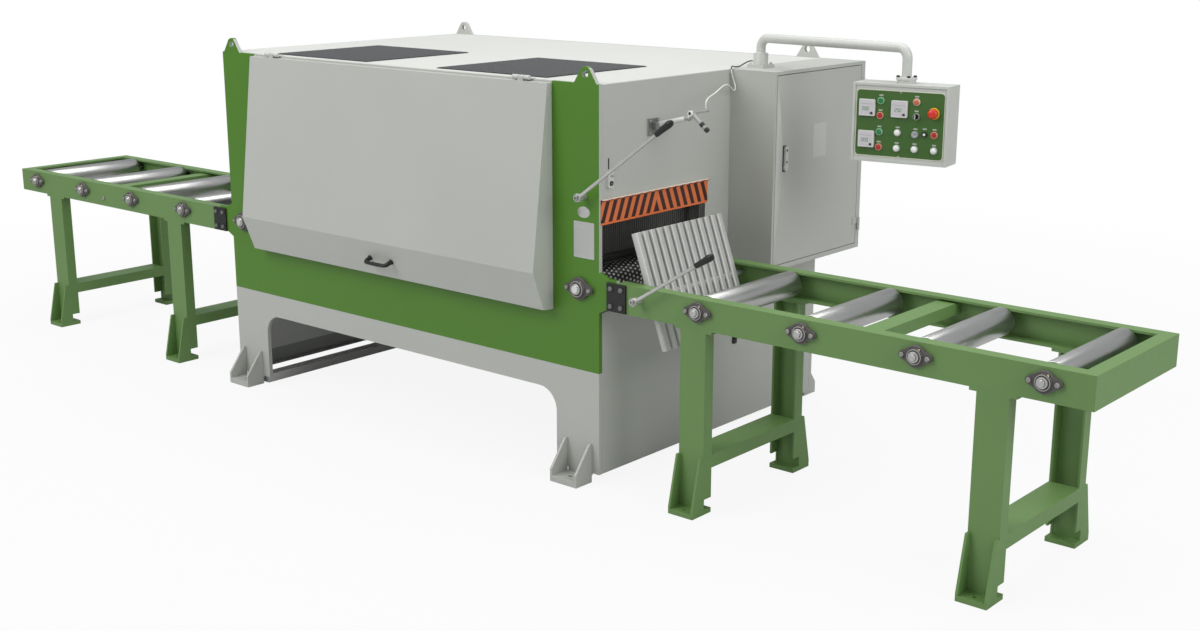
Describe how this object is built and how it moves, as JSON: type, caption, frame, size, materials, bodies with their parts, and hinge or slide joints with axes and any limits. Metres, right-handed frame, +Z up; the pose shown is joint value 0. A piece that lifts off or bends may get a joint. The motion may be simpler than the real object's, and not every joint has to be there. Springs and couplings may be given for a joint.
{
  "type": "multi rip saw",
  "caption": "Double-arbor multi rip saw with spiked feed, anti-kickback finger gates, swing-out control box and roller tables.",
  "frame": {"origin": "floor level, centre of the four floor anchors of the saw body", "axes": "+X against the feed towards the infeed table, +Y to the rear of the machine, +Z up"},
  "size_m": [6.489, 1.8236, 1.804],
  "materials": {
    "body_green": "satin",
    "body_grey": "satin",
    "inner_grey": "matt",
    "table_green": "satin",
    "panel_green": "satin",
    "guard_orange": "satin",
    "black_metal": "satin",
    "steel": "turned",
    "iron": "cast",
    "black_plastic": "matt",
    "red_plastic": "gloss",
    "green_plastic": "gloss",
    "cord_grey": "matt"
  },
  "bodies": {
    "machine": {"front_plate": "body_green", "inner_plate": "inner_grey", "rear_plate": "body_grey", "end_panels": "body_grey", "top_cover": "body_grey", "vent_grilles": "black_metal", "machine_feet": "body_grey", "feed_bed": "steel", "arbor_housings": "iron", "main_motors": "iron", "feed_drives": "iron", "flange_bearings": "iron", "guide_beams": "inner_grey", "splice_plates": "black_metal", "table_frames": "table_green", "table_legs": "table_green", "hood_hinges": "body_grey", "cabinet": "body_grey", "electrical_plate": "inner_grey", "arm_collar": "body_grey", "mouth_guard": "guard_orange", "laser_pointer": "steel", "laser_cord": "cord_grey"},
    "infeed_roller_1_body": {"infeed_roller_1": "steel"},
    "infeed_roller_2_body": {"infeed_roller_2": "steel"},
    "infeed_roller_3_body": {"infeed_roller_3": "steel"},
    "infeed_roller_4_body": {"infeed_roller_4": "steel"},
    "outfeed_roller_1_body": {"outfeed_roller_1": "steel"},
    "outfeed_roller_2_body": {"outfeed_roller_2": "steel"},
    "outfeed_roller_3_body": {"outfeed_roller_3": "steel"},
    "outfeed_roller_4_body": {"outfeed_roller_4": "steel"},
    "feed_roller_1_body": {"feed_roller_1": "steel"},
    "feed_roller_2_body": {"feed_roller_2": "steel"},
    "feed_roller_3_body": {"feed_roller_3": "steel"},
    "feed_roller_4_body": {"feed_roller_4": "steel"},
    "upper_saw": {"upper_arbor": "steel", "upper_blades": "steel"},
    "lower_saw": {"lower_arbor": "steel", "lower_blades": "steel"},
    "press": {"press_yokes": "inner_grey"},
    "press_roller_1_body": {"press_roller_1": "steel"},
    "press_roller_2_body": {"press_roller_2": "steel"},
    "hood": {"hood": "body_grey", "hood_handle": "black_plastic"},
    "door": {"cabinet_door": "body_grey"},
    "handle": {"door_handle": "black_plastic"},
    "arm": {"control_arm": "body_grey"},
    "box": {"control_box": "body_grey", "control_plate": "panel_green"},
    "start_button_1_body": {"start_button_1": "green_plastic"},
    "start_button_2_body": {"start_button_2": "green_plastic"},
    "stop_button_1_body": {"stop_button_1": "red_plastic"},
    "stop_button_2_body": {"stop_button_2": "red_plastic"},
    "stop_button_3_body": {"stop_button_3": "red_plastic"},
    "estop_button_body": {"estop_button": "red_plastic"},
    "selector_body": {"selector": "black_plastic"},
    "upper_gate": {"upper_lever": "steel", "upper_fingers": "iron"},
    "lower_gate": {"lower_lever": "steel", "lower_fingers": "steel"}
  },
  "joints": [
    {"name": "infeed_roller_1_spin", "type": "hinge", "parent": "machine", "child": "infeed_roller_1_body", "pos_m": [1.706, -0.4495, 0.82], "axis": [0, 1, 0], "continuous": true},
    {"name": "infeed_roller_2_spin", "type": "hinge", "parent": "machine", "child": "infeed_roller_2_body", "pos_m": [2.176, -0.4495, 0.82], "axis": [0, 1, 0], "continuous": true},
    {"name": "infeed_roller_3_spin", "type": "hinge", "parent": "machine", "child": "infeed_roller_3_body", "pos_m": [2.646, -0.4495, 0.82], "axis": [0, 1, 0], "continuous": true},
    {"name": "infeed_roller_4_spin", "type": "hinge", "parent": "machine", "child": "infeed_roller_4_body", "pos_m": [3.116, -0.4495, 0.82], "axis": [0, 1, 0], "continuous": true},
    {"name": "outfeed_roller_1_spin", "type": "hinge", "parent": "machine", "child": "outfeed_roller_1_body", "pos_m": [-1.619, -0.4495, 0.82], "axis": [0, 1, 0], "continuous": true},
    {"name": "outfeed_roller_2_spin", "type": "hinge", "parent": "machine", "child": "outfeed_roller_2_body", "pos_m": [-2.089, -0.4495, 0.82], "axis": [0, 1, 0], "continuous": true},
    {"name": "outfeed_roller_3_spin", "type": "hinge", "parent": "machine", "child": "outfeed_roller_3_body", "pos_m": [-2.559, -0.4495, 0.82], "axis": [0, 1, 0], "continuous": true},
    {"name": "outfeed_roller_4_spin", "type": "hinge", "parent": "machine", "child": "outfeed_roller_4_body", "pos_m": [-3.029, -0.4495, 0.82], "axis": [0, 1, 0], "continuous": true},
    {"name": "feed_roller_1_spin", "type": "hinge", "parent": "machine", "child": "feed_roller_1_body", "pos_m": [1.107, -0.4495, 0.822], "axis": [0, 1, 0], "continuous": true},
    {"name": "feed_roller_2_spin", "type": "hinge", "parent": "machine", "child": "feed_roller_2_body", "pos_m": [0.52, -0.4495, 0.822], "axis": [0, 1, 0], "continuous": true},
    {"name": "feed_roller_3_spin", "type": "hinge", "parent": "machine", "child": "feed_roller_3_body", "pos_m": [-0.52, -0.4495, 0.822], "axis": [0, 1, 0], "continuous": true},
    {"name": "feed_roller_4_spin", "type": "hinge", "parent": "machine", "child": "feed_roller_4_body", "pos_m": [-1.107, -0.4495, 0.822], "axis": [0, 1, 0], "continuous": true},
    {"name": "upper_arbor_spin", "type": "hinge", "parent": "machine", "child": "upper_saw", "pos_m": [0.21, -0.4495, 1.18], "axis": [0, 1, 0], "continuous": true},
    {"name": "lower_arbor_spin", "type": "hinge", "parent": "machine", "child": "lower_saw", "pos_m": [-0.21, -0.4495, 0.805], "axis": [0, 1, 0], "continuous": true},
    {"name": "press_lift", "type": "slide", "parent": "machine", "child": "press", "axis": [0, 0, 1], "range_m": [0, 0.2]},
    {"name": "press_roller_1_spin", "type": "hinge", "parent": "press", "child": "press_roller_1_body", "pos_m": [0.69, -0.4495, 0.977], "axis": [0, 1, 0], "continuous": true},
    {"name": "press_roller_2_spin", "type": "hinge", "parent": "press", "child": "press_roller_2_body", "pos_m": [-0.69, -0.4495, 0.977], "axis": [0, 1, 0], "continuous": true},
    {"name": "hood_swing", "type": "hinge", "parent": "machine", "child": "hood", "pos_m": [0, -0.809, 1.656], "axis": [-1, 0, 0], "range_deg": [0, 70]},
    {"name": "door_swing", "type": "hinge", "parent": "machine", "child": "door", "pos_m": [1.447, 0.775, 1.22], "axis": [0, 0, 1], "range_deg": [0, 110]},
    {"name": "door_handle_turn", "type": "hinge", "parent": "door", "child": "handle", "pos_m": [1.44, 0.161, 1.235], "axis": [-1, 0, 0], "range_deg": [0, 90]},
    {"name": "arm_swing", "type": "hinge", "parent": "machine", "child": "arm", "pos_m": [1.258, 0.225, 1.68], "axis": [0, 0, 1], "range_deg": [-45, 0]},
    {"name": "box_swivel", "type": "hinge", "parent": "arm", "child": "box", "pos_m": [2.01935, 0.15035, 1.65], "axis": [0, 0, 1], "range_deg": [0, 45]},
    {"name": "start_button_1_press", "type": "slide", "parent": "box", "child": "start_button_1_body", "axis": [-0.1564, 0.9877, 0], "range_m": [0, 0.004], "stiffness_N_per_m": 500, "springref_m": -0.004},
    {"name": "start_button_2_press", "type": "slide", "parent": "box", "child": "start_button_2_body", "axis": [-0.1564, 0.9877, 0], "range_m": [0, 0.004], "stiffness_N_per_m": 500, "springref_m": -0.004},
    {"name": "stop_button_1_press", "type": "slide", "parent": "box", "child": "stop_button_1_body", "axis": [-0.1564, 0.9877, 0], "range_m": [0, 0.004], "stiffness_N_per_m": 500, "springref_m": -0.004},
    {"name": "stop_button_2_press", "type": "slide", "parent": "box", "child": "stop_button_2_body", "axis": [-0.1564, 0.9877, 0], "range_m": [0, 0.004], "stiffness_N_per_m": 500, "springref_m": -0.004},
    {"name": "stop_button_3_press", "type": "slide", "parent": "box", "child": "stop_button_3_body", "axis": [-0.1564, 0.9877, 0], "range_m": [0, 0.004], "stiffness_N_per_m": 500, "springref_m": -0.004},
    {"name": "estop_button_press", "type": "slide", "parent": "box", "child": "estop_button_body", "axis": [-0.1564, 0.9877, 0], "range_m": [0, 0.006], "stiffness_N_per_m": 900, "springref_m": -0.004},
    {"name": "selector_turn", "type": "hinge", "parent": "box", "child": "selector_body", "pos_m": [2.09766, 0.10403, 1.51316], "axis": [0.1564, -0.9877, 0], "range_deg": [-45, 45]},
    {"name": "upper_gate_swing", "type": "hinge", "parent": "machine", "child": "upper_gate", "pos_m": [1.134, -0.4495, 1.203], "axis": [0, 1, 0], "range_deg": [0, 45]},
    {"name": "lower_gate_swing", "type": "hinge", "parent": "machine", "child": "lower_gate", "pos_m": [1.422, -0.4495, 0.822], "axis": [0, 1, 0], "range_deg": [-55, 0]}
  ],
  "couplings": [
    {"joint": "feed_roller_2_spin", "follows": "feed_roller_1_spin", "ratio": 1},
    {"joint": "feed_roller_3_spin", "follows": "feed_roller_1_spin", "ratio": 1},
    {"joint": "feed_roller_4_spin", "follows": "feed_roller_1_spin", "ratio": 1}
  ]
}
